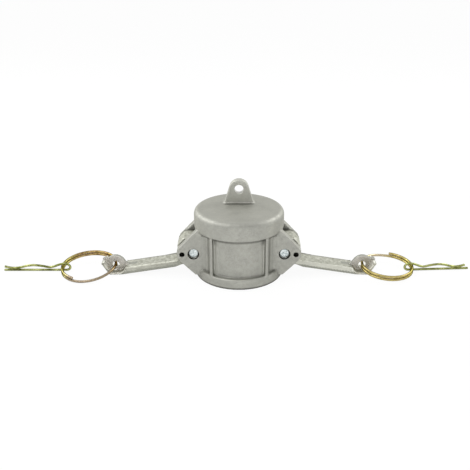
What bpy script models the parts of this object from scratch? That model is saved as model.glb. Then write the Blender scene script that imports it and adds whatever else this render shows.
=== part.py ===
"""Dust cap for a 1 1/4 inch cam and groove adapter, with two cam arms swung open, pull rings and safety clips."""

import math

import bmesh
import bpy
from mathutils import Matrix, Vector

for old in list(bpy.data.objects):
    bpy.data.objects.remove(old, do_unlink=True)

MM = 0.001

# Fits that more than one piece shares.
PART_GAP = 0.3
PIN_GAP = 0.32

# The gasket sets the size of the cup round it.
GASKET_OUTER_RADIUS = 24.6
GASKET_WIDTH = 7.55
GASKET_THICKNESS = 6.35
GASKET_INNER_RADIUS = GASKET_OUTER_RADIUS - GASKET_WIDTH
BORE_RADIUS = GASKET_OUTER_RADIUS - 1.6
GROOVE_RADIUS = GASKET_OUTER_RADIUS + PART_GAP + 0.1
WAIST_WALL = 2.6
WAIST_RADIUS = BORE_RADIUS + WAIST_WALL
RIM_STEP = 3.0
RIM_RADIUS = WAIST_RADIUS + RIM_STEP
COLLAR_WALL = 4.0
COLLAR_RADIUS = GROOVE_RADIUS + COLLAR_WALL

# Heights of the cast cap, which stands on its mouth.
RIM_TOP = 7.0
BORE_TOP = 33.8
COLLAR_BOTTOM = BORE_TOP - 0.9
GROOVE_TOP = BORE_TOP + GASKET_THICKNESS + 2 * PART_GAP
TOP_WALL = 4.25
CAP_TOP = GROOVE_TOP + TOP_WALL
TOP_ROUND = 3.5

# The pivots, and the ears that carry each arm.
PIVOT_REACH = 3.5
PIVOT_X = WAIST_RADIUS + PIVOT_REACH
PIVOT_Z = 18.2
PIN_RADIUS = 2.95
PIN_HOLE_RADIUS = PIN_RADIUS + PIN_GAP
PIN_SEAT_RADIUS = PIN_HOLE_RADIUS + 0.4
PIN_SEAT_DEPTH = 1.2
ARM_WIDTH = 15.0
WINDOW_HALF = ARM_WIDTH / 2 + PART_GAP
EAR_INNER = WINDOW_HALF + 0.04
EAR_THICKNESS = 5.96
EAR_OUTER = EAR_INNER + EAR_THICKNESS
EAR_REACH = 10.6
CLIP_HOLE_REACH = 7.3
CLIP_HOLE_DROP = 0.2
CLIP_HOLE_RADIUS = 1.65
CLIP_BOSS_RADIUS = 3.3
WINDOW_BOTTOM = RIM_TOP + 1.15
WINDOW_TOP = PIVOT_Z + 11.2

# The two ribs at each end of the front and back panels.
RIB_WIDTH = 2.0
RIB_X = EAR_OUTER + 3.7

# The lug on top, for a tether.
LUG_FRONT = 7.0
LUG_THICKNESS = 4.5
LUG_HOLE_Z = CAP_TOP + 9.6
LUG_HOLE_RADIUS = 3.0
LUG_TOP_RADIUS = LUG_HOLE_RADIUS + 3.35

# The arms: along is measured outwards from the pivot, across towards the outer face.
ARM_SLOPE = 9.0
BAR_INNER = 6.2
BAR_OUTER = 10.2
RING_HOLE_ALONG = 54.1
RING_HOLE_ACROSS = 5.3
RING_HOLE_RADIUS = 2.6
POCKET_DEPTH = 6.4

# The pull rings and the safety clips.
RING_MEAN_RADII = {-1: 17.6, 1: 16.4}
RING_WIRE_RADIUS = 0.85
RING_LAYER = 1.98
RING_DROP = 1.7
RING_TURN = 6.0
RING_ROLLS = {-1: 5.0, 1: 3.0}
CLIP_WIRE_RADIUS = 0.75
CLIP_SCALES = {-1: 1.0, 1: 0.937}
LONG_LEGS = {-1: 39.5, 1: 38.9}
CLIP_ROLL = -24.0
CLIP_SWINGS = {-1: 0.0, 1: 3.5}
EYE_RADIUS = 3.25


def material(name, colour, metallic, roughness):
    made = bpy.data.materials.new(name)
    made.use_nodes = True
    shader = made.node_tree.nodes["Principled BSDF"]
    shader.inputs["Base Color"].default_value = (*colour, 1.0)
    shader.inputs["Metallic"].default_value = metallic
    shader.inputs["Roughness"].default_value = roughness
    return made


def add_object(name, bm, smooth_angle=35.0):
    """Adds the bmesh, drawn in millimetres, as an object in metres."""
    bmesh.ops.remove_doubles(bm, verts=bm.verts, dist=1e-5)
    bmesh.ops.recalc_face_normals(bm, faces=bm.faces)
    bmesh.ops.scale(bm, vec=(MM, MM, MM), verts=bm.verts)
    for face in bm.faces:
        face.smooth = True
    for edge in bm.edges:
        if len(edge.link_faces) == 2:
            edge.smooth = edge.calc_face_angle() < math.radians(smooth_angle)
    mesh = bpy.data.meshes.new(name)
    bm.to_mesh(mesh)
    bm.free()
    made = bpy.data.objects.new(name, mesh)
    bpy.context.scene.collection.objects.link(made)
    return made


def lathe(name, profile, steps):
    """Turns a closed outline of (radius, height) points round the Z axis."""
    bm = bmesh.new()
    points = [bm.verts.new((radius, 0.0, height)) for radius, height in profile]
    edges = [bm.edges.new((points[i], points[i - 1])) for i in range(len(points))]
    bmesh.ops.spin(
        bm,
        geom=points + edges,
        cent=(0, 0, 0),
        axis=(0, 0, 1),
        angle=math.tau,
        steps=steps,
        use_merge=True,
    )
    return add_object(name, bm)


def prism(name, outline, low, high, place):
    """Extrudes a flat outline from low to high; place(a, b, depth) gives each corner in space."""
    bm = bmesh.new()
    count = len(outline)
    near = [bm.verts.new(place(a, b, low)) for a, b in outline]
    far = [bm.verts.new(place(a, b, high)) for a, b in outline]
    bm.faces.new(near)
    bm.faces.new(list(reversed(far)))
    for i in range(count):
        j = (i + 1) % count
        bm.faces.new((near[j], near[i], far[i], far[j]))
    return add_object(name, bm)


def along_y(a, b, depth):
    return (a, depth, b)


def along_z(a, b, depth):
    return (a, b, depth)


def arc(x, z, radius, start, end, steps):
    """Points on a circle from one angle to another, in degrees."""
    angles = [math.radians(start + (end - start) * i / steps) for i in range(steps + 1)]
    return [(x + radius * math.cos(t), z + radius * math.sin(t)) for t in angles]


def rounded(corners, steps=5):
    """Rounds each (a, b, radius) corner of an outline."""
    points = []
    for i, (a, b, radius) in enumerate(corners):
        here = Vector((a, b))
        back = Vector(corners[i - 1][:2]) - here
        ahead = Vector(corners[(i + 1) % len(corners)][:2]) - here
        if radius == 0:
            points.append((a, b))
            continue
        half = back.angle(ahead) / 2
        reach = radius / math.tan(half)
        centre = here + (back.normalized() + ahead.normalized()).normalized() * radius / math.sin(half)
        first = here + back.normalized() * reach - centre
        last = here + ahead.normalized() * reach - centre
        turn = first.angle_signed(last)
        for k in range(steps + 1):
            spun = Matrix.Rotation(-turn * k / steps, 2) @ first
            points.append(tuple(centre + spun))
    return points


def cylinder(name, x, z, radius, low, high, steps=32):
    return prism(name, arc(x, z, radius, 0, 360 - 360 / steps, steps - 1), low, high, along_y)


def boolean(target, cutter, operation="DIFFERENCE"):
    cutter.hide_render = True
    cutter.display_type = "WIRE"
    change = target.modifiers.new(cutter.name, "BOOLEAN")
    change.operation = operation
    change.solver = "EXACT"
    change.object = cutter


def ear_outline(side):
    """The ear's outline seen from the front: a slanted top, an upright end and a slanted foot."""
    root = BORE_RADIUS - 3.0
    end = PIVOT_X + EAR_REACH
    top = COLLAR_BOTTOM + 1.7
    corners = [
        (root, top, 0),
        (end - (top - PIVOT_Z - 2.6) * 0.96, top, 0),
        (end, PIVOT_Z + 2.6, 2.0),
        (end, PIVOT_Z - 2.6, 3.2),
        (end - 3.7, PIVOT_Z - 7.0, 2.5),
        (PIVOT_X - 0.9, RIM_TOP - 3.4, 0),
        (root, RIM_TOP - 3.4, 0),
    ]
    return [(side * a, b) for a, b in rounded(corners, 4)]


def depth_on(radius, x):
    """How far forward a round wall of that radius is at x."""
    return math.sqrt(radius**2 - x**2)


def rib_outline(side, front):
    """One upright rib of the panel, seen from above, with flared feet."""
    inner = RIB_X - RIB_WIDTH / 2
    outer = RIB_X + RIB_WIDTH / 2
    face = RIM_RADIUS - 0.15
    flare = 1.2
    corners = [
        (inner - flare, depth_on(BORE_RADIUS, inner - flare), 0),
        (inner - flare, depth_on(WAIST_RADIUS, inner - flare) - 0.1, 0),
        (inner, depth_on(WAIST_RADIUS, inner) + 0.9, 0.8),
        (inner, depth_on(face, inner), 0.4),
        (outer, depth_on(face, outer), 0.4),
        (outer, depth_on(WAIST_RADIUS, outer) + 1.3, 0.8),
        (outer + flare, depth_on(WAIST_RADIUS, outer + flare) - 0.1, 0),
        (outer + flare, depth_on(BORE_RADIUS + 1.0, outer + flare), 0),
    ]
    return [(side * a, front * b) for a, b in rounded(corners, 3)]


def build_cap():
    top_round = arc(COLLAR_RADIUS - TOP_ROUND, CAP_TOP - TOP_ROUND, TOP_ROUND, 0, 90, 6)
    waist_top = arc(WAIST_RADIUS + 1.2, COLLAR_BOTTOM - 1.2, 1.2, 180, 90, 3)
    waist_foot = arc(WAIST_RADIUS + 1.0, RIM_TOP + 1.0, 1.0, 270, 180, 3)
    profile = [(0, 0), (RIM_RADIUS - 0.7, 0), (RIM_RADIUS, 0.7)]
    profile += [(RIM_RADIUS, RIM_TOP - 0.8), (RIM_RADIUS - 0.8, RIM_TOP)]
    profile += waist_foot + waist_top
    profile += [(COLLAR_RADIUS - 0.6, COLLAR_BOTTOM), (COLLAR_RADIUS, COLLAR_BOTTOM + 0.6)]
    profile += top_round + [(0, CAP_TOP)]
    cap = lathe("cap_body", profile, 96)

    for side in (-1, 1):
        tag = "left" if side < 0 else "right"
        for front in (-1, 1):
            ear = prism(
                f"ear_{tag}_{front}",
                ear_outline(side),
                front * EAR_INNER,
                front * EAR_OUTER,
                along_y,
            )
            boolean(cap, ear, "UNION")
            # The corner between an ear and the waist is filled in the casting.
            root = math.sqrt(WAIST_RADIUS**2 - EAR_OUTER**2)
            fillet = [
                (side * (root - 2.0), front * (EAR_OUTER - 1.5)),
                (side * (root + 2.4), front * (EAR_OUTER - 1.5)),
                (side * (root + 2.4), front * (EAR_OUTER - 0.05)),
                (side * (root + 0.9), front * (EAR_OUTER + 0.35)),
                (side * (root - 0.3), front * (EAR_OUTER + 1.0)),
                (side * (root - 1.0), front * (EAR_OUTER + 1.9)),
                (side * (root - 2.0), front * (EAR_OUTER + 1.9)),
            ]
            web = prism(f"ear_web_{tag}_{front}", fillet, RIM_TOP - 1, COLLAR_BOTTOM + 1, along_z)
            boolean(cap, web, "UNION")
            boss = cylinder(
                f"clip_boss_{tag}_{front}",
                side * (PIVOT_X + CLIP_HOLE_REACH),
                PIVOT_Z - CLIP_HOLE_DROP,
                CLIP_BOSS_RADIUS,
                front * (EAR_OUTER - 1.0),
                front * (EAR_OUTER + 0.35),
                40,
            )
            boolean(cap, boss, "UNION")
            rib = prism(
                f"rib_{tag}_{front}",
                rib_outline(side, front),
                RIM_TOP - 1,
                COLLAR_BOTTOM + 1,
                along_z,
            )
            boolean(cap, rib, "UNION")

    # The lug: a round head on sides that spread down to a wide foot.
    head = arc(0, LUG_HOLE_Z, LUG_TOP_RADIUS, 16, 164, 18)
    right = [(10.9, CAP_TOP - 1), (10.9, CAP_TOP + 0.05), (9.8, CAP_TOP + 0.6)]
    right += [(9.1, CAP_TOP + 1.7), (8.5, CAP_TOP + 3.6)]
    left = [(-a, b) for a, b in reversed(right)]
    lug = prism("lug", right + head + left, LUG_FRONT, LUG_FRONT + LUG_THICKNESS, along_y)
    boolean(cap, lug, "UNION")
    back = LUG_FRONT + LUG_THICKNESS
    foot = [
        (LUG_FRONT - 1.0, CAP_TOP + 0.02),
        (LUG_FRONT - 0.35, CAP_TOP + 0.3),
        (LUG_FRONT + 0.02, CAP_TOP + 1.0),
        (back - 0.02, CAP_TOP + 1.0),
        (back + 0.35, CAP_TOP + 0.3),
        (back + 1.0, CAP_TOP + 0.02),
        (back + 1.0, CAP_TOP - 1),
        (LUG_FRONT - 1.0, CAP_TOP - 1),
    ]
    lug_foot = prism("lug_foot", foot, -9.3, 9.3, lambda a, b, depth: (depth, a, b))
    boolean(cap, lug_foot, "UNION")
    boolean(cap, cylinder("lug_hole", 0, LUG_HOLE_Z, LUG_HOLE_RADIUS, 0, 20, 40))

    # The machined inside: the lead-in, the bore and the gasket's groove.
    inside = [
        (0, -1),
        (BORE_RADIUS + 2.0, -1),
        (BORE_RADIUS, 1.4),
        (BORE_RADIUS, BORE_TOP),
        (GROOVE_RADIUS, BORE_TOP),
        (GROOVE_RADIUS, GROOVE_TOP),
        (0, GROOVE_TOP),
    ]
    boolean(cap, lathe("bore_cutter", inside, 96))

    for side in (-1, 1):
        tag = "left" if side < 0 else "right"
        window = [
            (side * (BORE_RADIUS - 5), WINDOW_BOTTOM),
            (side * PIVOT_X, WINDOW_BOTTOM),
            (side * PIVOT_X, WINDOW_TOP),
            (side * (BORE_RADIUS - 5), WINDOW_TOP),
        ]
        boolean(cap, prism(f"window_{tag}", window, -WINDOW_HALF, WINDOW_HALF, along_y))
        x = side * PIVOT_X
        boolean(cap, cylinder(f"pin_hole_{tag}", x, PIVOT_Z, PIN_HOLE_RADIUS, -20, 20, 36))
        for front in (-1, 1):
            seat = cylinder(
                f"pin_seat_{tag}_{front}",
                x,
                PIVOT_Z,
                PIN_SEAT_RADIUS,
                front * (EAR_OUTER - PIN_SEAT_DEPTH),
                front * (EAR_OUTER + 2),
                36,
            )
            boolean(cap, seat)
        x = side * (PIVOT_X + CLIP_HOLE_REACH)
        z = PIVOT_Z - CLIP_HOLE_DROP
        boolean(cap, cylinder(f"clip_hole_{tag}", x, z, CLIP_HOLE_RADIUS, -20, 20, 28))
    return cap


def build_gasket():
    low = BORE_TOP + PART_GAP
    high = low + GASKET_THICKNESS
    profile = [
        (GASKET_INNER_RADIUS + 0.4, low),
        (GASKET_OUTER_RADIUS - 0.4, low),
        (GASKET_OUTER_RADIUS, low + 0.4),
        (GASKET_OUTER_RADIUS, high - 0.4),
        (GASKET_OUTER_RADIUS - 0.4, high),
        (GASKET_INNER_RADIUS + 0.4, high),
        (GASKET_INNER_RADIUS, high - 0.4),
        (GASKET_INNER_RADIUS, low + 0.4),
    ]
    return lathe("gasket", profile, 72)


def build_pin(tag, side):
    half = EAR_OUTER - PIN_SEAT_DEPTH - 0.1
    bm = bmesh.new()
    rings = []
    for radius, y in (
        (PIN_RADIUS - 0.35, -half),
        (PIN_RADIUS, -half + 0.35),
        (PIN_RADIUS, half - 0.35),
        (PIN_RADIUS - 0.35, half),
    ):
        rings.append([bm.verts.new((a, y, b)) for a, b in arc(0, 0, radius, 0, 350, 35)])
    for low, high in zip(rings, rings[1:]):
        for i in range(36):
            bm.faces.new((low[i - 1], low[i], high[i], high[i - 1]))
    bm.faces.new(rings[0])
    bm.faces.new(list(reversed(rings[-1])))
    pin = add_object(f"pivot_pin_{tag}", bm)
    pin.location = (side * PIVOT_X * MM, 0, PIVOT_Z * MM)
    return pin


def arm_point(side, along, across):
    """A point of the arm's own outline, in the open pose, measured from the pivot."""
    c = math.cos(math.radians(ARM_SLOPE))
    s = math.sin(math.radians(ARM_SLOPE))
    return (side * (along * c - across * s), -along * s - across * c)


def arm_outline(side):
    """The arm's side view: heel, bar, raised tip, shoulder and cam lobe."""
    lock = -CLIP_HOLE_DROP
    corners = [
        (lock + 1.7, CLIP_HOLE_REACH + 2.85, 1.2),
        (9.4, BAR_OUTER - 1.25, 4.0),
        (14.4, BAR_OUTER, 4.0),
        (RING_HOLE_ALONG - 4.1, BAR_OUTER, 8.0),
        (RING_HOLE_ALONG + 4.2, BAR_OUTER - 1.15, 1.2),
        (RING_HOLE_ALONG + 8.1, RING_HOLE_ACROSS - 6.0, 0.8),
        (RING_HOLE_ALONG - 2.9, RING_HOLE_ACROSS - 5.7, 1.6),
        (RING_HOLE_ALONG - 6.1, BAR_INNER, 1.6),
        (12.0, BAR_INNER, 1.4),
        (10.0, -5.2, 1.2),
        (5.1, -9.3, 2.0),
        (-2.4, -8.1, 3.6),
        (-6.2, -3.4, 3.6),
        (-4.6, 3.4, 4.0),
    ]
    outline = rounded(corners, 5) + arc(lock, CLIP_HOLE_REACH, 2.9, 195, 85, 9)
    return [arm_point(side, a, b) for a, b in outline]


def pocket_outline(side):
    """The hollow round the ring's hole, the same from both faces of the arm."""
    corners = [
        (RING_HOLE_ALONG - 6.8, -3.0, 0),
        (RING_HOLE_ALONG - 6.8, BAR_OUTER - 0.8, 4.0),
        (RING_HOLE_ALONG + 2.8, BAR_OUTER - 1.45, 1.2),
        (RING_HOLE_ALONG + 6.2, RING_HOLE_ACROSS - 3.9, 0.5),
        (RING_HOLE_ALONG + 9.9, RING_HOLE_ACROSS - 4.3, 0),
        (RING_HOLE_ALONG + 9.9, -3.0, 0),
    ]
    return [arm_point(side, a, b) for a, b in rounded(corners, 5)]


def build_arm(tag, side):
    arm = prism(f"cam_arm_{tag}", arm_outline(side), -ARM_WIDTH / 2, ARM_WIDTH / 2, along_y)
    arm.location = (side * PIVOT_X * MM, 0, PIVOT_Z * MM)
    bm = bmesh.new()
    bm.from_mesh(arm.data)
    rims = [e for e in bm.edges if abs(e.verts[0].co.y - e.verts[1].co.y) < 1e-7]
    bmesh.ops.bevel(
        bm,
        geom=rims,
        offset=0.6 * MM,
        offset_type="OFFSET",
        segments=2,
        profile=0.5,
        affect="EDGES",
        material=-1,
    )
    bm.to_mesh(arm.data)
    bm.free()
    cutters = [cylinder(f"arm_pin_hole_{tag}", 0, 0, PIN_HOLE_RADIUS, -10, 10, 36)]
    x, z = arm_point(side, -CLIP_HOLE_DROP, CLIP_HOLE_REACH)
    cutters.append(cylinder(f"arm_clip_hole_{tag}", x, z, CLIP_HOLE_RADIUS, -10, 10, 28))
    x, z = arm_point(side, RING_HOLE_ALONG, RING_HOLE_ACROSS)
    cutters.append(cylinder(f"arm_ring_hole_{tag}", x, z, RING_HOLE_RADIUS, -10, 10, 32))
    for front in (-1, 1):
        floor = front * (ARM_WIDTH / 2 - POCKET_DEPTH)
        top = front * (ARM_WIDTH / 2 + 1)
        cutters.append(prism(f"arm_pocket_{tag}_{front}", pocket_outline(side), floor, top, along_y))
    for cutter in cutters:
        cutter.parent = arm
        boolean(arm, cutter)
    return arm


def tube(name, path, radius, sides, origin):
    """Sweeps a round wire along a path of points, with closed ends; origin is the object's own place."""
    curve = bpy.data.curves.new(name, "CURVE")
    curve.dimensions = "3D"
    curve.bevel_depth = radius * MM
    curve.bevel_resolution = sides
    curve.use_fill_caps = True
    curve.twist_mode = "MINIMUM"
    spline = curve.splines.new("POLY")
    spline.points.add(len(path) - 1)
    for point, place in zip(spline.points, path):
        point.co = (*[(a - b) * MM for a, b in zip(place, origin)], 1.0)
    spline.use_smooth = True
    made = bpy.data.objects.new(name, curve)
    made.location = [a * MM for a in origin]
    bpy.context.scene.collection.objects.link(made)
    return made


def ring_frame(side):
    """The hole's place, the ring's centre, and its directions outwards, across and along its own axis."""
    along, up = arm_point(side, RING_HOLE_ALONG, RING_HOLE_ACROSS)
    hole = Vector((side * PIVOT_X + along, 0, PIVOT_Z + up))
    drop = math.radians(RING_DROP)
    roll = math.radians(RING_ROLLS[side])
    turn = math.radians(RING_TURN)
    outwards = Vector((side * math.cos(drop), 0, -math.sin(drop)))
    across = Vector((0, math.cos(roll), math.sin(roll)))
    axis = outwards.cross(across).normalized() * side
    across = axis.cross(outwards).normalized() * side
    centre = hole + (outwards * math.cos(turn) - across * math.sin(turn)) * RING_MEAN_RADII[side]
    return hole, centre, outwards, across, axis


def ring_path(side, start, way, turns, steps=76):
    """The split ring's wire: a top layer, a step down where it lies single, then the layer below."""
    hole, centre, outwards, across, axis = ring_frame(side)
    total = 360 * turns
    doubled = total - 360
    points = []
    for i in range(steps + 1):
        turned = total * i / steps
        angle = math.radians(start + way * turned)
        step = min(max((turned - doubled) / (360 - doubled), 0), 1)
        lift = RING_LAYER * (0.5 - step * step * (3 - 2 * step))
        spoke = outwards * math.cos(angle) + across * math.sin(angle)
        points.append(tuple(centre + spoke * RING_MEAN_RADII[side] + axis * lift))
    return points


def build_ring(tag, side, start, way, turns):
    hole = ring_frame(side)[0]
    path = ring_path(side, start, way, turns)
    return tube(f"pull_ring_{tag}", path, RING_WIRE_RADIUS, 3, tuple(hole))


def smooth_path(points, steps):
    """A path through the points, curved evenly."""
    ends = [2 * Vector(points[0]) - Vector(points[1])]
    ends += [Vector(p) for p in points]
    ends += [2 * Vector(points[-1]) - Vector(points[-2])]
    found = []
    for a, b, c, d in zip(ends, ends[1:], ends[2:], ends[3:]):
        for i in range(steps):
            t = i / steps
            found.append(
                0.5
                * (
                    2 * b
                    + (c - a) * t
                    + (2 * a - 5 * b + 4 * c - d) * t * t
                    + (3 * b - a - 3 * c + d) * t * t * t
                )
            )
    found.append(Vector(points[-1]))
    return found


def build_clip(tag, side):
    """The R-shaped clip: a straight leg, the eye round the ring's wire and a wavy leg."""
    hole, centre, outwards, across, axis = ring_frame(side)
    grip = centre + outwards * RING_MEAN_RADII[side]
    # Along the clip and up from the ring's wire, which lies on the straight leg.
    leg = -3.05
    scale = CLIP_SCALES[side]
    back = EYE_RADIUS / 2
    flat = [(x, leg) for x in (LONG_LEGS[side] / scale, 31.0, 20.0, 9.0, 2.5)]
    flat += arc(-back, leg + EYE_RADIUS, EYE_RADIUS, 265, 60, 8)
    flat += [
        (2.5, leg + 5.2),
        (5.5, leg + 3.7),
        (8.9, leg + 2.75),
        (13.0, leg + 3.9),
        (18.5, leg + 4.8),
        (23.5, leg + 4.2),
        (27.5, leg + 2.8),
        (31.5, leg + 2.0),
        (35.0, leg + 2.3),
        (38.5, leg + 3.6),
    ]
    roll = math.radians(CLIP_ROLL)
    swing = math.radians(CLIP_SWINGS[side])
    long = Vector((side * math.cos(swing), math.sin(swing), 0))
    up = Vector((0, math.sin(roll), math.cos(roll)))
    points = [grip + long * a * scale + up * b for a, b in flat]
    path = smooth_path(points, 3)
    return tube(f"safety_clip_{tag}", [tuple(p) for p in path], CLIP_WIRE_RADIUS, 3, tuple(grip))


aluminium = material("cast_aluminium", (0.40, 0.405, 0.36), 0.6, 0.5)
steel = material("cast_steel", (0.56, 0.57, 0.50), 0.7, 0.4)
pin_steel = material("pin_steel", (0.62, 0.66, 0.68), 1.0, 0.3)
zinc = material("yellow_zinc_wire", (0.55, 0.42, 0.18), 1.0, 0.3)
clip_zinc = material("green_zinc_wire", (0.42, 0.44, 0.22), 1.0, 0.35)
rubber = material("nitrile_rubber", (0.02, 0.02, 0.02), 0.0, 0.6)

build_cap().data.materials.append(aluminium)
build_gasket().data.materials.append(rubber)
for name, side in (("left", -1), ("right", 1)):
    build_pin(name, side).data.materials.append(pin_steel)
    build_arm(name, side).data.materials.append(steel)
    build_clip(name, side).data.materials.append(clip_zinc)
build_ring("left", -1, -64.0, 1, 1.66).data.materials.append(zinc)
build_ring("right", 1, 75.0, -1, 1.72).data.materials.append(zinc)
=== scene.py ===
import math

import bmesh
import bpy
from mathutils import Matrix, Vector


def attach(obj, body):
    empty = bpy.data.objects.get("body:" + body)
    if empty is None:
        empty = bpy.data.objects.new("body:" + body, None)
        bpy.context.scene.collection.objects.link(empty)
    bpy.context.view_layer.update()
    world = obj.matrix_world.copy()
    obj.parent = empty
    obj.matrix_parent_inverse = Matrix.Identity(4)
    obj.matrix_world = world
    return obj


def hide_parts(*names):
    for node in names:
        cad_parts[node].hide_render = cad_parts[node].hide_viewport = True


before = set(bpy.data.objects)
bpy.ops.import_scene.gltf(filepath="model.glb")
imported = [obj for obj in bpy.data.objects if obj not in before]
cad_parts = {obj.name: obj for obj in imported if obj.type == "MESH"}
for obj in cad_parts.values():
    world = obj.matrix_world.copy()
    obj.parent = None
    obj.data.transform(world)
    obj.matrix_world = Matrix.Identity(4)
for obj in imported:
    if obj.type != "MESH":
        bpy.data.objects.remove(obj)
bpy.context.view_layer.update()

mm = 0.001
inset = 0.03  # how far a filling stays inside the faces of its casting, in mm


def linear(code):
    # A hex colour as the linear values that shaders take.
    values = []
    for i in (0, 2, 4):
        value = int(code[i : i + 2], 16) / 255
        values.append(value / 12.92 if value <= 0.04045 else ((value + 0.055) / 1.055) ** 2.4)
    return (*values, 1.0)


def addNode(tree, kind, inputs=None, **settings):
    # Inputs are values, or sockets to link from.
    node = tree.nodes.new(kind)
    for key, value in settings.items():
        setattr(node, key, value)
    for key, value in (inputs or {}).items():
        if isinstance(value, bpy.types.NodeSocket):
            tree.links.new(value, node.inputs[key])
        else:
            node.inputs[key].default_value = value
    return node


# What a ramp or a relief can read: one of the finish's patterns, a place in mm along x, y or z,
# an axis with a value for the distance from that value, the reach from the cap's own axis,
# how pointed the surface is, how far it faces to the front or back, or the tool marks.
def makeReader(tree, look):
    place = addNode(tree, "ShaderNodeTexCoord").outputs["Object"]
    found = {}

    def newReading(key):
        if key in look["patterns"]:
            pattern = look["patterns"][key]
            spot = place
            if "stretch" in pattern:
                settings = {"Vector": place, "Scale": pattern["stretch"]}
                spot = addNode(tree, "ShaderNodeMapping", settings).outputs[0]
            settings = {
                "Vector": spot,
                "Scale": 1 / (pattern["size"] * mm),
                "Detail": pattern["detail"],
                "Roughness": pattern["rough"],
                "Distortion": pattern.get("distortion", 0.0),
            }
            return addNode(tree, "ShaderNodeTexNoise", settings).outputs["Fac"]
        if key == "place":
            settings = {0: place, "Scale": 1 / mm}
            return addNode(tree, "ShaderNodeVectorMath", settings, operation="SCALE").outputs[0]
        if key in ("x", "y", "z"):
            parts = addNode(tree, "ShaderNodeSeparateXYZ", {0: read("place")})
            return parts.outputs["xyz".index(key)]
        if key == "reach":
            flat = addNode(tree, "ShaderNodeCombineXYZ", {0: read("x"), 1: read("y")}).outputs[0]
            away = addNode(tree, "ShaderNodeVectorMath", {0: flat}, operation="LENGTH")
            return away.outputs["Value"]
        if key == "pointed":
            return addNode(tree, "ShaderNodeNewGeometry").outputs["Pointiness"]
        if key == "facing":
            normal = addNode(tree, "ShaderNodeNewGeometry").outputs["Normal"]
            turned = addNode(tree, "ShaderNodeSeparateXYZ", {0: normal}).outputs[1]
            return addNode(tree, "ShaderNodeMath", {0: turned}, operation="ABSOLUTE").outputs[0]
        if key == "toolMarks":
            # Rings about the hole in either arm, broken up by the grain.
            settings = {0: read(("x", 0)), 1: read("z")}
            flat = addNode(tree, "ShaderNodeCombineXYZ", settings).outputs[0]
            settings = {0: flat, 1: (*look["toolCentre"], 0)}
            away = addNode(tree, "ShaderNodeVectorMath", settings, operation="DISTANCE")
            settings = {0: away.outputs["Value"], 1: math.tau / look["toolSpacing"]}
            turns = addNode(tree, "ShaderNodeMath", settings, operation="MULTIPLY").outputs[0]
            marks = addNode(tree, "ShaderNodeMath", {0: turns}, operation="SINE").outputs[0]
            settings = {0: marks, 1: read("grain")}
            return addNode(tree, "ShaderNodeMath", settings, operation="MULTIPLY").outputs[0]
        axis, middle = key
        away = addNode(tree, "ShaderNodeMath", {0: read(axis), 1: middle}, operation="SUBTRACT")
        return addNode(tree, "ShaderNodeMath", {0: away.outputs[0]}, operation="ABSOLUTE").outputs[0]

    def read(key):
        if key not in found:
            found[key] = newReading(key)
        return found[key]

    return read


# A ramp is (what it reads, first, last, low, high): it takes first..last to low..high, and is
# held at its ends. The ramps are then multiplied or added.
def joinRamps(tree, read, ramps, how="MULTIPLY"):
    joined = None
    for key, first, last, low, high in ramps:
        settings = {
            "Value": read(key),
            "From Min": first,
            "From Max": last,
            "To Min": low,
            "To Max": high,
        }
        step = addNode(tree, "ShaderNodeMapRange", settings).outputs["Result"]
        if joined is not None:
            step = addNode(tree, "ShaderNodeMath", {0: joined, 1: step}, operation=how).outputs[0]
        joined = step
    return joined


# A finish has patterns of noise with features of a size in mm, a first colour, layers of
# (colour, ramps...) over it, roughness ramps that are added, reliefs of (reading, depth in mm),
# and plain values for the shader.
def addFinish(look):
    made = bpy.data.materials.new(look["name"])
    made.use_nodes = True
    tree = made.node_tree
    shader = tree.nodes["Principled BSDF"]
    read = makeReader(tree, look)
    colour = linear(look["colour"])
    shader.inputs["Base Color"].default_value = colour
    for code, *ramps in look["layers"]:
        settings = {0: joinRamps(tree, read, ramps), 6: colour, 7: linear(code)}
        colour = addNode(tree, "ShaderNodeMix", settings, data_type="RGBA").outputs[2]
    if look["layers"]:
        tree.links.new(colour, shader.inputs["Base Color"])
    if look["rough"]:
        tree.links.new(joinRamps(tree, read, look["rough"], "ADD"), shader.inputs["Roughness"])
    normal = None
    for key, depth in look["relief"]:
        settings = {"Height": read(key), "Strength": 1.0, "Distance": depth * mm}
        if normal is not None:
            settings["Normal"] = normal
        normal = addNode(tree, "ShaderNodeBump", settings).outputs[0]
    if normal is not None:
        tree.links.new(normal, shader.inputs["Normal"])
    for socket, value in look["shader"].items():
        shader.inputs[socket].default_value = linear(value) if isinstance(value, str) else value
    return made


def addObject(name, bm, finish, smoothAngle=32.0):
    # The bmesh is drawn in millimetres, and the object is in metres.
    bmesh.ops.recalc_face_normals(bm, faces=bm.faces)
    bmesh.ops.scale(bm, vec=(mm, mm, mm), verts=bm.verts)
    for face in bm.faces:
        face.smooth = True
    for edge in bm.edges:
        if len(edge.link_faces) == 2:
            edge.smooth = edge.calc_face_angle() < math.radians(smoothAngle)
    mesh = bpy.data.meshes.new(name)
    bm.to_mesh(mesh)
    bm.free()
    mesh.materials.append(finish)
    made = bpy.data.objects.new(name, mesh)
    bpy.context.scene.collection.objects.link(made)
    return made


def arcPoints(radius, first, last, steps):
    # Points of an arc about (0, 0), with its ends in degrees.
    angles = [math.radians(first + (last - first) * i / steps) for i in range(steps + 1)]
    return [(radius * math.cos(angle), radius * math.sin(angle)) for angle in angles]


def addPrism(bm, outline, low, high):
    # An outline of (x, z) points, drawn out along Y.
    face = bm.faces.new([bm.verts.new((x, low, z)) for x, z in outline])
    grown = bmesh.ops.extrude_face_region(bm, geom=[face])["geom"]
    verts = [part for part in grown if isinstance(part, bmesh.types.BMVert)]
    bmesh.ops.translate(bm, vec=(0, high - low, 0), verts=verts)


def addCylinder(bm, x, z, radius, low, high, sides=64):
    # It lies along Y. With create_cone in its place, the cut of the bore came out open.
    outline = arcPoints(radius, 0, 360, sides)[:-1]
    addPrism(bm, [(x + a, z + b) for a, b in outline], low, high)


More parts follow.
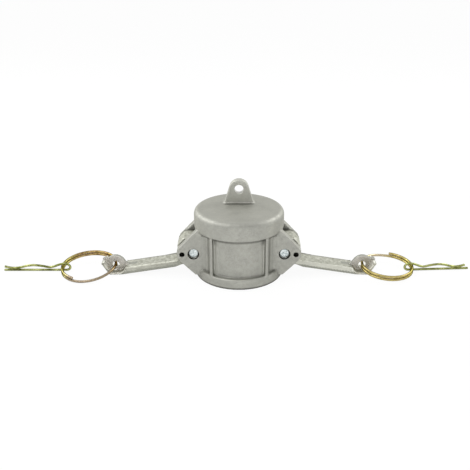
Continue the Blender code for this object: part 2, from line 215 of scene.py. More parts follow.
def addLathe(bm, profile, steps):
    # A closed outline of (radius, height) points, turned round the Z axis.
    points = [bm.verts.new((radius, 0.0, height)) for radius, height in profile]
    edges = [bm.edges.new((points[i], points[i - 1])) for i in range(len(points))]
    bmesh.ops.spin(
        bm,
        geom=points + edges,
        cent=(0, 0, 0),
        axis=(0, 0, 1),
        angle=math.tau,
        steps=steps,
        use_merge=True,
    )
    bmesh.ops.remove_doubles(bm, verts=bm.verts, dist=1e-5)
    loose = [edge for edge in bm.edges if not edge.link_faces]
    bmesh.ops.delete(bm, geom=loose, context="EDGES")


wireEnd = {"narrow": 0.7, "long": 0.25}  # the small chamfer at a wire's ends


def addWire(name, path, radius, finish, sides=20):
    # A round section is drawn along the path, which keeps it from twisting.
    points = [Vector(point) for point in path]
    tangents = []
    for i in range(len(points)):
        ahead = points[min(i + 1, len(points) - 1)]
        tangents.append((ahead - points[max(i - 1, 0)]).normalized())
    lead = wireEnd["long"]
    last = len(points) - 1
    stations = [(points[0], wireEnd["narrow"], 0), (points[0] + tangents[0] * lead, 1.0, 0)]
    stations += [(points[i], 1.0, i) for i in range(1, last)]
    stations += [(points[-1] - tangents[-1] * lead, 1.0, last)]
    stations += [(points[-1], wireEnd["narrow"], last)]
    normal = tangents[0].orthogonal().normalized()
    bm = bmesh.new()
    before = None
    for here, size, i in stations:
        normal = (normal - tangents[i] * normal.dot(tangents[i])).normalized()
        turned = Matrix((normal, tangents[i].cross(normal), tangents[i])).transposed().to_4x4()
        place = Matrix.Translation(here) @ turned @ Matrix.Diagonal((size, size, 1, 1))
        if before is None:
            bmesh.ops.create_circle(
                bm, cap_ends=True, segments=sides, radius=radius, matrix=place
            )
            face = bm.faces[:][0]
        else:
            grown = bmesh.ops.extrude_face_region(bm, geom=[face, *face.edges])["geom"]
            face = next(part for part in grown if isinstance(part, bmesh.types.BMFace))
            bmesh.ops.transform(bm, matrix=place @ before.inverted(), verts=face.verts)
        before = place
    return addObject(name, bm, finish, 40.0)


def smoothPath(points, steps):
    # An even curve through the points.
    ends = [2 * Vector(points[0]) - Vector(points[1])]
    ends += [Vector(point) for point in points]
    ends += [2 * Vector(points[-1]) - Vector(points[-2])]
    path = []
    for a, b, c, d in zip(ends, ends[1:], ends[2:], ends[3:]):
        for i in range(steps):
            t = i / steps
            bend = 2 * b + (c - a) * t + (2 * a - 5 * b + 4 * c - d) * t * t
            path.append(0.5 * (bend + (3 * b - a - 3 * c + d) * t * t * t))
    path.append(Vector(points[-1]))
    return path


def cadCopy(node):
    # A copy of the CAD node's mesh in millimetres, with its doubles merged.
    bm = bmesh.new()
    bm.from_mesh(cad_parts[node].data)
    bmesh.ops.scale(bm, vec=(1 / mm, 1 / mm, 1 / mm), verts=bm.verts)
    bmesh.ops.remove_doubles(bm, verts=bm.verts, dist=1e-4)
    return bm


def applied(piece):
    # The piece's mesh becomes what its modifiers make.
    graph = bpy.context.evaluated_depsgraph_get()
    mesh = bpy.data.meshes.new_from_object(piece.evaluated_get(graph))
    piece.modifiers.clear()
    piece.data = mesh
    return piece


def castSkin(name, bm, size, finish):
    # One soft-edged casting from the CAD copy, whose machined holes have been filled in.
    piece = addObject(name, bm, finish)
    remesh = piece.modifiers.new("casting", "REMESH")
    remesh.mode = "VOXEL"
    remesh.voxel_size = size["voxel"] * mm
    remesh.use_smooth_shade = True
    soften = piece.modifiers.new("tumbled", "SMOOTH")
    soften.factor = 0.5
    soften.iterations = size["softening"]
    applied(piece)
    piece.data.materials.clear()
    piece.data.materials.append(finish)
    return piece


def cutAway(piece, shapes, finish):
    # Cuts the machined holes, whose faces take the cutters' finish.
    piece.data.materials.append(finish)
    cutters = []
    for i, bm in enumerate(shapes):
        cutter = addObject(f"{piece.name}_cutter_{i}", bm, finish)
        cutter.hide_render = True
        cutter.display_type = "WIRE"
        change = piece.modifiers.new(cutter.name, "BOOLEAN")
        change.operation = "DIFFERENCE"
        change.solver = "EXACT"
        change.object = cutter
        change.material_mode = "TRANSFER"
        cutters.append(cutter)
    applied(piece)
    for cutter in cutters:
        bpy.data.objects.remove(cutter, do_unlink=True)


def slotOf(piece, finish):
    # The number of the finish's slot, which is added where the piece has none.
    if finish.name not in piece.data.materials:
        piece.data.materials.append(finish)
    return piece.data.materials.find(finish.name)


def darken(piece, centre, reach, finish, outside=0.0):
    # The faces within reach of a hole's centre take the finish, where |y| is over outside.
    slot = slotOf(piece, finish)
    for face in piece.data.polygons:
        place = face.center / mm
        away = math.hypot(place.x - centre[0], place.z - centre[1])
        if away < reach and abs(place.y) > outside:
            face.material_index = slot


def dress(piece, node, rides):
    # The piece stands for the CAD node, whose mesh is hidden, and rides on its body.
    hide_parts(node)
    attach(piece, rides)


# The cap: a sand casting with a machined bore, seal groove and cross holes. Sizes are in mm.
body = {
    "voxel": 0.46,
    "softening": 4,
    "boreRadius": 23.02,
    "boreMouth": (25.02, 1.4),  # the radius of its flare, and the height where that ends
    "boreTop": 33.78,
    "grooveRadius": 25.02,
    "grooveTop": 40.76,
    "earOuter": 13.8,
    "earInner": 7.84,
    "pivotX": 29.1,
    "pivotZ": 18.2,
    "pinHole": 3.29,
    "pinSeat": 3.69,
    "pinSeatDepth": 1.2,
    "clipHoleX": 36.4,
    "clipHoleZ": 18.0,
    "clipHole": 1.67,
    "bossHeight": 0.35,
    "top": 45.0,
    "panelHalf": 16.2,
    "panelRadius": 25.6,
    "lugHoleZ": 54.6,
    "lugHole": 3.02,
    "lugFront": 7.0,
    "lugThickness": 4.5,
    "lugHalf": 7.5,
    "filled": 0.1,  # how much wider than its hole a filling is
    "shadeReach": 0.05,  # how far past a hole's radius its painted shade reaches
}
top = body["top"]
panelHalf = body["panelHalf"]
panelRadius = body["panelRadius"]
lugFoot = body["lugFront"] - 1.2

# Sand-cast aluminium, blasted: a dull grey with paler grains and patches, bright where edges are
# handled, and painted shade in the corners and creases.
castAluminium = {
    "name": "sand_cast_aluminium",
    "patterns": {
        "blotch": {"size": 9.0, "detail": 4.0, "rough": 0.6},
        "patch": {"size": 2.2, "detail": 4.0, "rough": 0.65},
        "grain": {"size": 0.45, "detail": 3.0, "rough": 0.6},
        "dimple": {"size": 1.3, "detail": 2.0, "rough": 0.5},
    },
    "colour": "A3A39C",
    "layers": [
        ("AFAFA7", ("blotch", 0.3, 0.7, 0, 1)),
        ("A0A09A", ("patch", 0.35, 0.75, 0, 0.45)),
        ("C4C4BD", ("grain", 0.45, 0.75, 0, 0.35)),
        ("C8C8C0", ("pointed", 0.52, 0.6, 0, 0.12)),
        # Painted shade darkens the concave corners.
        ("65655E", ("pointed", 0.497, 0.46, 0, 0.6)),
        # Painted shade lies in a line under the collar and over the lower rim,
        ("3C3C37", (("z", 31.4), 0.52, 1.3, 0.5, 0), ("reach", 27.4, 27.8, 1, 0)),
        ("3C3C37", (("z", 7.5), 0.36, 0.9, 0.2, 0), ("reach", 27.0, 27.4, 1, 0)),
        (  # and painted shade lies too where the lug's front meets the top plate.
            "3C3C37",
            (("y", lugFoot), 0.3, 1.3, 0.75, 0),
            (("x", 0), body["lugHalf"], body["lugHalf"] + 3.0, 1, 0),
            ("z", top + 0.1, top + 0.5, 1, 0),
        ),
        (  # Painted shade dulls the front of the top edge, where it dims the lamps' highlight.
            "8C8C86",
            (("x", 0), 4, 22, 0.55, 0),
            ("y", -20, -8, 1, 0),
            ("z", top - 2.4, top - 1.2, 0, 1),
            ("reach", 25.5, 27.0, 0, 1),
        ),
        ("D6D6CE", ("z", top + 0.3, top + 2.0, 0, 0.4)),  # painted light makes the lug paler than the plate
        (  # Painted light makes the panels paler beside their ribs,
            "DADAD2",
            (("x", 0), panelHalf - 4.0, panelHalf - 0.8, 0, 0.75),
            (("x", 0), panelHalf, panelHalf + 0.4, 1, 0),
            ("reach", panelRadius, panelRadius + 0.5, 1, 0),
            ("z", 27, 29, 1, 0),
        ),
        ("4C4C46", ("z", 0.9, 1.9, 0.85, 0)),  # and painted shade darkens the foot where it stands.
    ],
    "rough": [("patch", 0.3, 0.7, 0.5, 0.68)],
    "relief": [("dimple", 0.07), ("grain", 0.05)],
    "shader": {"Metallic": 1.0, "Specular Tint": "CECEC8"},
}

# Freshly cut aluminium: brighter than the casting, with fine turning marks round the bore,
# drawn coarser than real ones so that they show.
machinedAluminium = {
    "name": "machined_aluminium",
    "patterns": {
        "rings": {"size": 0.25, "detail": 2.0, "rough": 0.5, "stretch": (0.05, 0.05, 1.0)},
        "blotch": {"size": 5.0, "detail": 3.0, "rough": 0.6},
    },
    "colour": "B9B9B2",
    "layers": [("C8C8C2", ("blotch", 0.3, 0.7, 0, 1))],
    "rough": [("rings", 0.3, 0.7, 0.28, 0.42)],
    "relief": [("rings", 0.02)],
    "shader": {"Metallic": 1.0},
}

# Painted shade for drilled walls: nearly black, with a low sheen. In the clip holes, and in the
# gap round each pin's end.
boreShadeFinish = {
    "name": "drilled_bore_painted_shade",
    "patterns": {"fine": {"size": 0.4, "detail": 3.0, "rough": 0.6}},
    "colour": "141412",
    "layers": [("2B2A26", ("fine", 0.3, 0.7, 0, 1))],
    "rough": [("fine", 0.3, 0.7, 0.45, 0.65)],
    "relief": [("fine", 0.03)],
    "shader": {"Metallic": 0.6},
}


def buildBody(cast, machined, boreShade):
    bm = cadCopy("cap_body")
    ears = [(side, front) for side in (-1, 1) for front in (-1, 1)]
    filled = body["filled"]
    near = body["earInner"] + inset
    for side, front in ears:
        ends = sorted((front * near, front * (body["earOuter"] - inset)))
        seat = body["pinSeat"] + filled
        addCylinder(bm, side * body["pivotX"], body["pivotZ"], seat, *ends)
        ends = sorted((front * near, front * (body["earOuter"] + body["bossHeight"] - inset)))
        hole = body["clipHole"] + filled
        addCylinder(bm, side * body["clipHoleX"], body["clipHoleZ"], hole, *ends)
    ends = (body["lugFront"] + inset, body["lugFront"] + body["lugThickness"] - inset)
    addCylinder(bm, 0, body["lugHoleZ"], body["lugHole"] + filled, *ends)
    piece = castSkin("cast_cap", bm, body, cast)

    holes = bmesh.new()
    for side in (-1, 1):
        addCylinder(holes, side * body["pivotX"], body["pivotZ"], body["pinHole"], -20, 20)
        clipHole = (side * body["clipHoleX"], body["clipHoleZ"], body["clipHole"])
        addCylinder(holes, *clipHole, -20, 20, 40)
    addCylinder(holes, 0, body["lugHoleZ"], body["lugHole"], 0, 20)

    seats = bmesh.new()
    seatFloor = body["earOuter"] - body["pinSeatDepth"]
    for side, front in ears:
        ends = sorted((front * seatFloor, front * (body["earOuter"] + 2)))
        addCylinder(seats, side * body["pivotX"], body["pivotZ"], body["pinSeat"], *ends)

    inside = bmesh.new()
    mouthRadius, mouthTop = body["boreMouth"]
    profile = [
        (0, -1),
        (mouthRadius, -1),
        (body["boreRadius"], mouthTop),
        (body["boreRadius"], body["boreTop"]),
        (body["grooveRadius"], body["boreTop"]),
        (body["grooveRadius"], body["grooveTop"]),
        (0, body["grooveTop"]),
    ]
    addLathe(inside, profile, 128)
    cutAway(piece, [holes, seats, inside], machined)

    # The clip holes, and the seat walls round the pins, take painted shade.
    for side in (-1, 1):
        clipHole = (side * body["clipHoleX"], body["clipHoleZ"])
        darken(piece, clipHole, body["clipHole"] + body["shadeReach"], boreShade)
        pivot = (side * body["pivotX"], body["pivotZ"])
        darken(piece, pivot, body["pinSeat"] + 0.02, boreShade, seatFloor - 0.3)
    return piece


# The seal: a flat ring with moulded corners, and a flash line inside at mid height.
seal = {
    "inner": 17.05,
    "outer": 24.6,
    "low": 34.1,
    "thickness": 6.35,
    "corner": 0.45,
    "cornerEase": 0.13,
    "flash": 0.12,
}

# Moulded nitrile rubber: near black and evenly dull, a little greyer in patches.
nitrileRubber = {
    "name": "moulded_nitrile_rubber",
    "patterns": {
        "fine": {"size": 0.3, "detail": 3.0, "rough": 0.6},
        "drift": {"size": 4.0, "detail": 3.0, "rough": 0.6},
    },
    "colour": "1B1B1C",
    "layers": [("2A2A2B", ("drift", 0.3, 0.7, 0, 1))],
    "rough": [("fine", 0.3, 0.7, 0.5, 0.65)],
    "relief": [("fine", 0.015)],
    "shader": {"IOR": 1.52},
}


def buildSeal(rubber):
    low, high = seal["low"], seal["low"] + seal["thickness"]
    inner, outer = seal["inner"], seal["outer"]
    corner, ease, flash = seal["corner"], seal["cornerEase"], seal["flash"]
    mid = (low + high) / 2
    profile = [
        (inner + corner, low),
        (outer - corner, low),
        (outer - ease, low + ease),
        (outer, low + corner),
        (outer, high - corner),
        (outer - ease, high - ease),
        (outer - corner, high),
        (inner + corner, high),
        (inner + ease, high - ease),
        (inner, high - corner),
        (inner, mid + flash),
        (inner - flash, mid),
        (inner, mid - flash),
        (inner, low + corner),
        (inner + ease, low + ease),
    ]
    bm = bmesh.new()
    addLathe(bm, profile, 128)
    return addObject("flat_seal", bm, rubber)


# The pins: plain, with a small chamfer and a shallow dimple in each end.
pin = {"radius": 2.95, "half": 12.5, "chamfer": 0.4, "dimple": 0.3, "dimpleDepth": 0.1}

# Bright zinc plate on steel: a faint blue cast, dulled and spotted where the end was upset.
zincPlate = {
    "name": "blue_zinc_plated_steel",
    "patterns": {
        "fine": {"size": 0.3, "detail": 3.0, "rough": 0.6},
        "drift": {"size": 1.1, "detail": 3.0, "rough": 0.65},
    },
    "colour": "A3ADAE",
    "layers": [
        ("E4EAE9", ("drift", 0.38, 0.62, 0, 1)),
        ("6E7677", ("fine", 0.5, 0.7, 0, 0.5)),
    ],
    "rough": [("fine", 0.3, 0.7, 0.22, 0.4)],
    "relief": [("drift", 0.06), ("fine", 0.03)],
    "shader": {"Metallic": 1.0},
}


def buildPin(tag, side, zinc):
    half, radius, cut = pin["half"], pin["radius"], pin["chamfer"]
    dimple = radius * pin["dimple"]
    profile = [
        (0, pin["dimpleDepth"] - half),
        (dimple, pin["dimpleDepth"] - half),
        (dimple * 1.5, -half),
        (radius - cut, -half),
        (radius - cut * 0.3, cut * 0.3 - half),
        (radius, cut - half),
    ]
    profile += [(across, -along) for across, along in reversed(profile)]
    bm = bmesh.new()
    addLathe(bm, profile, 64)
    turn = Matrix.Rotation(math.radians(90), 3, "X")
    bmesh.ops.rotate(bm, cent=(0, 0, 0), matrix=turn, verts=bm.verts)
    bmesh.ops.translate(bm, vec=(side * body["pivotX"], 0, body["pivotZ"]), verts=bm.verts)
    return addObject(f"straight_pin_{tag}", bm, zinc)


# The arms, in the open pose. Along is from the pin outwards along the bar, across is down
# through it, and both are in mm.
arm = {
    "voxel": 0.3,
    "softening": 2,
    "slope": 9.0,
    "width": 15.0,
    "web": 2.2,
    "ringHoleAlong": 54.1,
    "ringHoleAcross": 5.3,
    "ringHole": 2.62,
    "tipRound": 6.8,
    "tipRoundEnds": (-18, -160),
    "tipFoot": [(-6.9, -1.4), (-7.6, -0.4), (-8.6, 0.5), (-8.6, 1.4), (-6.5, 2.2), (-4.5, 3.3)],
    "tipFloor": [(3.4, 3.3), (4.8, 1.5)],
    "tipCorner": (6.7, -4.7),
    "tipCornerRound": 0.9,
    "tipCornerFrom": 3.0,  # the corner is filled from the front to this far from the middle
    "tipStart": 7.0,  # the tip begins this far before the ring's hole
    "barInner": 6.2,
    "draft": 1.8,
    "draftDepth": 2.4,
    "draftStart": (9.0, 22.0),
    "draftEnd": (46.5, 48.5),
    "heelEnd": 8.0,
    "lipAcross": 8.7,
    "floorAcross": (7.4, 9.4),
    "clipHoleAlong": -0.2,
    "clipHoleAcross": 7.3,
}
ringAlong = arm["ringHoleAlong"]
ringAcross = arm["ringHoleAcross"]


def armPoint(side, along, across):
    c = math.cos(math.radians(arm["slope"]))
    s = math.sin(math.radians(arm["slope"]))
    x = body["pivotX"] + along * c - across * s
    return (side * x, body["pivotZ"] - along * s - across * c)


def armPlace(side, point):
    # How far along and across the bar a point in metres is, the reverse of armPoint.
    c = math.cos(math.radians(arm["slope"]))
    s = math.sin(math.radians(arm["slope"]))
    x = side * point.x / mm - body["pivotX"]
    z = body["pivotZ"] - point.z / mm
    return x * c + z * s, z * c - x * s


# Cast steel, tumbled bright: blotched and specked, with drag marks along the bar.
tumbledSteel = {
    "name": "tumbled_cast_steel",
    "patterns": {
        "blotch": {"size": 7.0, "detail": 4.0, "rough": 0.6, "stretch": (0.5, 1.0, 1.0)},
        "streak": {"size": 1.6, "detail": 4.0, "rough": 0.6, "stretch": (0.2, 1.0, 1.0)},
        "grain": {"size": 0.4, "detail": 3.0, "rough": 0.6},
        "speck": {"size": 1.9, "detail": 4.0, "rough": 0.7},
    },
    "colour": "B1B2A7",
    "layers": [
        ("C8C9BD", ("blotch", 0.3, 0.7, 0, 1)),
        ("97978C", ("streak", 0.4, 0.7, 0, 0.5)),
        ("DADAD0", ("speck", 0.5, 0.66, 0, 0.7)),
        ("8A887A", ("speck", 0.34, 0.5, 0.7, 0)),
        ("D6D6CE", ("pointed", 0.52, 0.6, 0, 0.2)),
        # Painted by how far the sides face front or back: shade on the left arm, light on the right.
        ("A6A69C", ("facing", 0.35, 0.75, 0, 0.85), ("x", -10, 10, 1, 0)),
        ("D4D4CA", ("facing", 0.35, 0.75, 0, 0.85), ("x", -10, 10, 0, 1)),
        # Darker along the face's back edge, with painted shade in the corners.
        ("55554E", ("y", 3.9, 5.5, 0, 0.8)),
        ("66665E", ("pointed", 0.497, 0.46, 0, 0.8)),
    ],
    "rough": [("streak", 0.3, 0.7, 0.36, 0.55), ("facing", 0.35, 0.75, 0, 0.2125)],
    "relief": [("streak", 0.05), ("grain", 0.03)],
    "shader": {"Metallic": 1.0, "Specular Tint": "E0E0DA"},
}

# A greyer, streaked copy of the same steel, used as painted shade: on the side faces of the heel and
# of the bar's lower strip, and on the web's rim.
steelShadeFinish = {
    "name": "cast_steel_painted_shade",
    "patterns": {
        "streak": {"size": 1.4, "detail": 4.0, "rough": 0.6, "stretch": (0.12, 1.0, 1.0)},
        "grain": {"size": 0.4, "detail": 3.0, "rough": 0.6},
    },
    "colour": "84857C",
    "layers": [
        ("A3A49A", ("streak", 0.3, 0.7, 0, 1)),
        ("BFBFB5", ("grain", 0.5, 0.75, 0, 0.4)),
    ],
    "rough": [("streak", 0.3, 0.7, 0.42, 0.6)],
    "relief": [("streak", 0.06), ("grain", 0.03)],
    "shader": {"Metallic": 1.0},
}

# The same steel nearly white, as painted highlight on the edge of the tip's floor and on its
# end wall.
steelHighlightFinish = {
    "name": "steel_painted_highlight",
    "patterns": {"grain": {"size": 0.5, "detail": 3.0, "rough": 0.6}},
    "colour": "E2E2DA",
    "layers": [("F0F0E8", ("grain", 0.3, 0.7, 0, 1))],
    "rough": [],
    "relief": [("grain", 0.03)],
    "shader": {"Metallic": 1.0, "Roughness": 0.6},
}

# The same steel milled in the tip's hollows and bored in the holes: a warm grey, with tool marks
# in rings about the ring's hole.
milledSteel = {
    "name": "milled_cast_steel",
    "patterns": {"grain": {"size": 0.6, "detail": 3.0, "rough": 0.6}},
    "toolCentre": armPoint(1, ringAlong, ringAcross),
    "toolSpacing": 0.8,
    "colour": "ACA9A2",
    "layers": [
        ("C0BDB6", ("grain", 0.3, 0.7, 0, 1)),
        ("D6D3CB", ("toolMarks", 0.1, 0.6, 0, 0.5)),
    ],
    "rough": [],
    "relief": [("toolMarks", 0.03), ("grain", 0.03)],
    "shader": {"Metallic": 1.0, "Roughness": 0.42},
}


def share(value, first, last):
    return min(max((value - first) / (last - first), 0.0), 1.0)


def draftBar(piece, side):
    # The bar's long top edges are drawn in, as its mould leaves them.
    inner = arm["barInner"]
    for vert in piece.data.vertices:
        along, across = armPlace(side, vert.co)
        length = share(along, *arm["draftStart"]) * (1 - share(along, *arm["draftEnd"]))
        height = 1 - share(across, inner, inner + arm["draftDepth"])
        vert.co.y *= 1 - arm["draft"] / (arm["width"] / 2) * length * height


def finishArm(piece, side, milled, steelShade, steelHighlight):
    # Places are in mm, and a part of a normal runs from 0 to 1.
    half = arm["width"] / 2 - inset
    ringHole = armPoint(side, ringAlong, ringAcross)
    milledSlot, steelShadeSlot, steelHighlightSlot = [slotOf(piece, one) for one in (milled, steelShade, steelHighlight)]
    floorTop, floorBottom = arm["floorAcross"]
    for face in piece.data.polygons:
        centre = face.center / mm
        deep = abs(face.center.y) / mm
        turned = abs(face.normal.y)
        along, across = armPlace(side, face.center)
        tip = along > ringAlong - arm["tipStart"]
        # The side faces of the heel and of the bar's lower strip take painted shade.
        strip = across > arm["barInner"] + arm["draftDepth"] - 0.3 or along < arm["heelEnd"]
        lip = tip and across < arm["lipAcross"]
        if deep > half - 0.5 and turned > 0.88 and strip and not lip:
            face.material_index = steelShadeSlot
        # The hollow's end wall, and the edges of its floor, take painted highlight.
        inwards = face.normal.x * side * (ringAlong - along) > 0.3
        endWall = along > ringAlong + 1.0 and inwards and 1.5 < deep < half - 0.4
        floorEdge = deep > 5.4 and floorTop < across < floorBottom and face.normal.z > 0.4
        if tip and (endWall or floorEdge):
            face.material_index = steelHighlightSlot
        # The web's two faces are milled, and its upper rim takes painted shade.
        away = math.hypot(abs(centre.x) - abs(ringHole[0]), centre.z - ringHole[1])
        if deep > arm["web"] / 2 + 0.5 or away > 14:
            continue
        if turned > 0.6:
            face.material_index = milledSlot
        elif away > arm["tipRound"] - 0.6 and face.normal.z > 0.2:
            face.material_index = steelShadeSlot


def buildArm(tag, side, steel, milled, steelShade, steelHighlight, boreShade):
    half = arm["width"] / 2 - inset
    web = arm["web"] / 2 - inset
    filled = body["filled"]
    pivot = (side * body["pivotX"], body["pivotZ"])
    lock = armPoint(side, arm["clipHoleAlong"], arm["clipHoleAcross"])
    ringHole = armPoint(side, ringAlong, ringAcross)
    outwards, down = arm["tipCorner"]
    corner = armPoint(side, ringAlong + outwards, ringAcross + down)
    outline = arcPoints(arm["tipRound"], *arm["tipRoundEnds"], 21)
    outline += arm["tipFoot"] + arm["tipFloor"]
    outline = [armPoint(side, ringAlong + a, ringAcross + b) for a, b in outline]

    bm = cadCopy(f"cam_arm_{tag}")
    addCylinder(bm, *pivot, body["pinHole"] + filled, -half, half)
    addCylinder(bm, *lock, body["clipHole"] + filled, -half, half)
    addPrism(bm, outline, -web, web)
    addCylinder(bm, *corner, arm["tipCornerRound"], -half, -arm["tipCornerFrom"])
    piece = castSkin(f"cast_arm_{tag}", bm, arm, steel)
    draftBar(piece, side)

    holes = bmesh.new()
    addCylinder(holes, *pivot, body["pinHole"], -10, 10)
    addCylinder(holes, *lock, body["clipHole"], -10, 10, 40)
    addCylinder(holes, *ringHole, arm["ringHole"], -10, 10)
    cutAway(piece, [holes], milled)
    # The arm's clip hole takes painted shade.
    darken(piece, lock, body["clipHole"] + body["shadeReach"], boreShade)
    finishArm(piece, side, milled, steelShade, steelHighlight)
    return piece


# The split rings: each doubles over most of its turn. Angles are in degrees.
ring = {
    "wire": 0.85,
    "layer": 1.98,
    "drop": 1.7,
    "turn": 6.0,
    "left": {"radius": 17.6, "start": -64.0, "way": 1, "turns": 1.66, "roll": 5.0},
    "right": {"radius": 16.4, "start": 75.0, "way": -1, "turns": 1.72, "roll": 3.0},
}

# Zinc plate with a yellow passivate: gold that drifts to olive, uneven along the wire.
yellowPlate = {
    "name": "yellow_zinc_plated_wire",
    "patterns": {
        "drift": {"size": 6.0, "detail": 3.0, "rough": 0.6},
        "hue": {"size": 3.0, "detail": 2.0, "rough": 0.5, "distortion": 1.0},
        "fine": {"size": 0.35, "detail": 3.0, "rough": 0.6},
    },
    "colour": "6A4C1E",
    "layers": [
        ("C9AE80", ("drift", 0.35, 0.65, 0, 1)),
        ("A8A258", ("hue", 0.45, 0.7, 0, 0.5)),
        ("6E5A2A", ("fine", 0.5, 0.75, 0, 0.25)),
        # The left ring is worn to grey in front,
        ("988B78", ("y", -12, -4, 0.85, 0), ("x", -10, 0, 1, 0)),
        # the right one is more golden, and pale at the back,
        ("BCB272", ("x", 0, 10, 0, 0.55)),
        ("CBBDA6", ("y", 5, 12, 0, 0.7), ("x", 0, 10, 0, 1), ("x", 98, 104, 1, 0)),
        # and both are greener by their clips.
        ("A8A45C", (("x", 0), 109, 115, 0, 0.7)),
    ],
    "rough": [("fine", 0.3, 0.7, 0.2, 0.36)],
    "relief": [("fine", 0.01)],
    "shader": {"Metallic": 1.0, "Specular Tint": "332C20"},
}


def ringFrame(tag, side):
    # The ring's centre and its directions: outwards, across, and along its own axis.
    x, z = armPoint(side, ringAlong, ringAcross)
    drop = math.radians(ring["drop"])
    roll = math.radians(ring[tag]["roll"])
    turn = math.radians(ring["turn"])
    outwards = Vector((side * math.cos(drop), 0, -math.sin(drop)))
    across = Vector((0, math.cos(roll), math.sin(roll)))
    axis = outwards.cross(across).normalized() * side
    across = axis.cross(outwards).normalized() * side
    reach = (outwards * math.cos(turn) - across * math.sin(turn)) * ring[tag]["radius"]
    return Vector((x, 0, z)) + reach, outwards, across, axis


def buildRing(tag, side, plate, steps=320):
    lay = ring[tag]
    centre, outwards, across, axis = ringFrame(tag, side)
    total = 360 * lay["turns"]
    doubled = total - 360
    path = []
    for i in range(steps + 1):
        turned = total * i / steps
        angle = math.radians(lay["start"] + lay["way"] * turned)
        # The single part of the turn climbs from one layer to the other.
        step = share(turned, doubled, 360)
        lift = ring["layer"] * (0.5 - step * step * (3 - 2 * step))
        spoke = outwards * math.cos(angle) + across * math.sin(angle)
        path.append(centre + spoke * lay["radius"] + axis * lift)
    return addWire(f"split_ring_{tag}", path, ring["wire"], plate)


# The clips: a straight leg, an eye round the ring and a wavy leg. Legs are places along the
# clip from the ring's wire, and the wavy one has its height over the straight one as well.
clip = {
    "wire": 0.75,
    "eye": 3.25,
    "eyeEnds": (265, 60),
    "leg": -3.05,
    "straightLeg": (31.0, 20.0, 9.0, 2.5),
    "wavyLeg": [
        (2.5, 5.2),
        (5.5, 3.7),
        (8.9, 2.75),
        (13.0, 3.9),
        (18.5, 4.8),
        (23.5, 4.2),
        (27.5, 2.8),
        (31.5, 2.0),
        (35.0, 2.3),
        (38.5, 3.6),
    ],
    "roll": -24.0,
    "left": {"swing": 0.0, "scale": 1.0, "longLeg": 39.5},
    "right": {"swing": 3.5, "scale": 0.937, "longLeg": 38.9},
}

# The same plate on the clips, where the passivate turned a pale green.
greenPlate = {
    "name": "green_zinc_plated_wire",
    "patterns": yellowPlate["patterns"],
    "colour": "686E38",
    "layers": [
        ("BEC480", ("drift", 0.35, 0.65, 0, 1)),
        ("A4A072", ("hue", 0.45, 0.7, 0, 0.5)),
        ("6E5A2A", ("fine", 0.5, 0.75, 0, 0.25)),
    ],
    "rough": yellowPlate["rough"],
    "relief": yellowPlate["relief"],
    "shader": yellowPlate["shader"],
}


def buildClip(tag, side, plate):
    centre, outwards, _, _ = ringFrame(tag, side)
    grip = centre + outwards * ring[tag]["radius"]
    eye, leg, scale = clip["eye"], clip["leg"], clip[tag]["scale"]
    flat = [(a, leg) for a in (clip[tag]["longLeg"] / scale, *clip["straightLeg"])]
    flat += [(a - eye / 2, leg + eye + b) for a, b in arcPoints(eye, *clip["eyeEnds"], 8)]
    flat += [(a, leg + b) for a, b in clip["wavyLeg"]]
    roll = math.radians(clip["roll"])
    swing = math.radians(clip[tag]["swing"])
    long = Vector((side * math.cos(swing), math.sin(swing), 0))
    up = Vector((0, math.sin(roll), math.cos(roll)))
    path = smoothPath([grip + long * a * scale + up * b for a, b in flat], 8)
    return addWire(f"wire_clip_{tag}", path, clip["wire"], plate)


# The floor: a white paper sweep. The camera sees it nearly white with a trace of shadow, and metal
# shows a little of its glow.
floor = {"half": 6000, "height": -0.0001, "seen": 0.93, "shown": 0.22}
whitePaper = {
    "name": "white_paper_sweep",
    "patterns": {"fibre": {"size": 0.8, "detail": 3.0, "rough": 0.6}},
    "colour": "F6F6F6",
    "layers": [("FCFCFC", ("fibre", 0.3, 0.7, 0, 1))],
    "rough": [],
    "relief": [],
    "shader": {"Roughness": 0.9},
}


def buildFloor():
    paper = addFinish(whitePaper)
    tree = paper.node_tree
    shader = tree.nodes["Principled BSDF"]
    path = addNode(tree, "ShaderNodeLightPath")
    settings = {0: path.outputs["Is Camera Ray"], 1: floor["seen"]}
    seen = addNode(tree, "ShaderNodeMath", settings, operation="MULTIPLY").outputs[0]
    settings = {0: path.outputs["Is Glossy Ray"], 1: floor["shown"]}
    shown = addNode(tree, "ShaderNodeMath", settings, operation="MULTIPLY").outputs[0]
    for other in (shown, path.outputs["Is Transmission Ray"]):
        seen = addNode(tree, "ShaderNodeMath", {0: seen, 1: other}, operation="MAXIMUM").outputs[0]
    glow = addNode(tree, "ShaderNodeEmission", {"Color": (1, 1, 1, 1), "Strength": 1.0})
    settings = {0: seen, 1: shader.outputs[0], 2: glow.outputs[0]}
    mixed = addNode(tree, "ShaderNodeMixShader", settings)
    tree.links.new(mixed.outputs[0], tree.nodes["Material Output"].inputs["Surface"])
    bm = bmesh.new()
    bmesh.ops.create_grid(bm, x_segments=4, y_segments=4, size=floor["half"])
    sheet = addObject("paper_floor", bm, paper)
    sheet.location = (0, 0, floor["height"])


# The card: the dark room behind the camera, which only the metal's reflections show.
card = {"half": 400, "wide": 2.2, "place": (0, -0.9, 0.42)}
greyCard = {
    "name": "dark_grey_card",
    "patterns": {},
    "colour": "585856",
    "layers": [],
    "rough": [],
    "relief": [],
    "shader": {"Roughness": 0.9},
}


def buildCard():
    bm = bmesh.new()
    bmesh.ops.create_grid(bm, x_segments=1, y_segments=1, size=card["half"])
    bmesh.ops.scale(bm, vec=(card["wide"], 1, 1), verts=bm.verts)
    sheet = addObject("camera_side_card", bm, addFinish(greyCard))
    sheet.rotation_euler = (math.radians(90), 0, 0)
    sheet.location = card["place"]
    sheet.visible_camera = False
    sheet.visible_diffuse = False
    sheet.visible_shadow = False


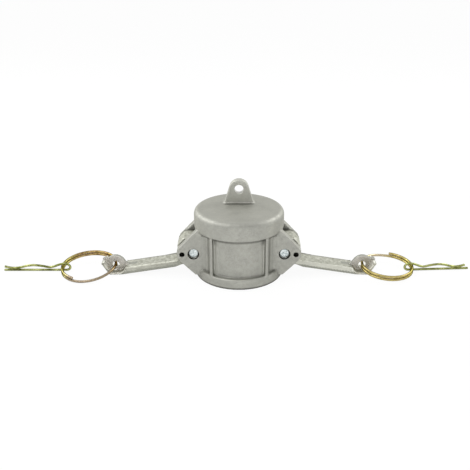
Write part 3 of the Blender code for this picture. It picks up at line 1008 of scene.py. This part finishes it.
# The lamps, in metres and watts. All are aimed at the cap's waist.
lamps = {
    "aim": (0, 0, 0.02),
    "key": {"place": (-0.4, -0.3, 0.75), "size": (0.5, 0.5), "power": 2.5},
    "left_edge": {"place": (-0.6, 0.3, 0.5), "size": (0.35, 0.35), "power": 2.2},
    "right_edge": {"place": (0.6, 0.3, 0.47), "size": (0.35, 0.35), "power": 2.0},
    "front_fill": {"place": (0.08, -0.8, 0.15), "size": (0.8, 0.25), "power": 1.15},
}


def buildLamp(name):
    lamp = lamps[name]
    data = bpy.data.lights.new(name, "AREA")
    data.shape = "RECTANGLE"
    data.size, data.size_y = lamp["size"]
    data.energy = lamp["power"]
    made = bpy.data.objects.new(name, data)
    made.location = lamp["place"]
    towards = Vector(lamps["aim"]) - Vector(lamp["place"])
    made.rotation_euler = towards.to_track_quat("-Z", "Y").to_euler()
    bpy.context.scene.collection.objects.link(made)


# The world lights at this level, and is white to the camera and in reflections.
worldLevel = 0.75


def buildWorld():
    world = bpy.data.worlds.new("white_studio")
    bpy.context.scene.world = world
    world.use_nodes = True
    tree = world.node_tree
    tree.nodes.clear()
    path = addNode(tree, "ShaderNodeLightPath")
    seen = path.outputs["Is Camera Ray"]
    for ray in ("Is Glossy Ray", "Is Transmission Ray"):
        settings = {0: seen, 1: path.outputs[ray]}
        seen = addNode(tree, "ShaderNodeMath", settings, operation="MAXIMUM").outputs[0]
    settings = {"Value": seen, "To Min": worldLevel, "To Max": 1.0}
    level = addNode(tree, "ShaderNodeMapRange", settings).outputs["Result"]
    sky = addNode(tree, "ShaderNodeBackground", {"Color": (1, 1, 1, 1), "Strength": level})
    end = addNode(tree, "ShaderNodeOutputWorld")
    tree.links.new(sky.outputs[0], end.inputs["Surface"])


# The camera: in front, above, and pitched down in degrees. Distances are in metres.
view = {"distance": 0.400, "height": 0.202, "pitch": 23.8, "lens": 51.32, "shift": -0.0085}


def buildCamera():
    data = bpy.data.cameras.new("camera")
    data.sensor_width = 36.0
    data.lens = view["lens"]
    data.shift_x = view["shift"]
    camera = bpy.data.objects.new("camera", data)
    camera.location = (0, -view["distance"], view["height"])
    camera.rotation_euler = (math.radians(90 - view["pitch"]), 0, 0)
    bpy.context.scene.collection.objects.link(camera)
    bpy.context.scene.camera = camera


print("materials")
cast = addFinish(castAluminium)
machined = addFinish(machinedAluminium)
boreShade = addFinish(boreShadeFinish)
rubber = addFinish(nitrileRubber)
zinc = addFinish(zincPlate)
steel = addFinish(tumbledSteel)
steelShade = addFinish(steelShadeFinish)
steelHighlight = addFinish(steelHighlightFinish)
milled = addFinish(milledSteel)
yellow = addFinish(yellowPlate)
green = addFinish(greenPlate)

print("cap and seal")
dress(buildBody(cast, machined, boreShade), "cap_body", "cap")
dress(buildSeal(rubber), "gasket", "cap")

print("arms, pins, rings and clips")
for tag, side in (("left", -1), ("right", 1)):
    dress(buildPin(tag, side, zinc), f"pivot_pin_{tag}", "cap")
    dress(buildArm(tag, side, steel, milled, steelShade, steelHighlight, boreShade), f"cam_arm_{tag}", f"arm_{tag}")
    dress(buildRing(tag, side, yellow), f"pull_ring_{tag}", f"ring_{tag}")
    dress(buildClip(tag, side, green), f"safety_clip_{tag}", f"clip_{tag}")

print("floor, light and camera")
buildFloor()
buildCard()
for name in ("key", "left_edge", "right_edge", "front_fill"):
    buildLamp(name)
buildWorld()
buildCamera()
bpy.context.scene.view_settings.view_transform = "Standard"

bpy.context.view_layer.update()
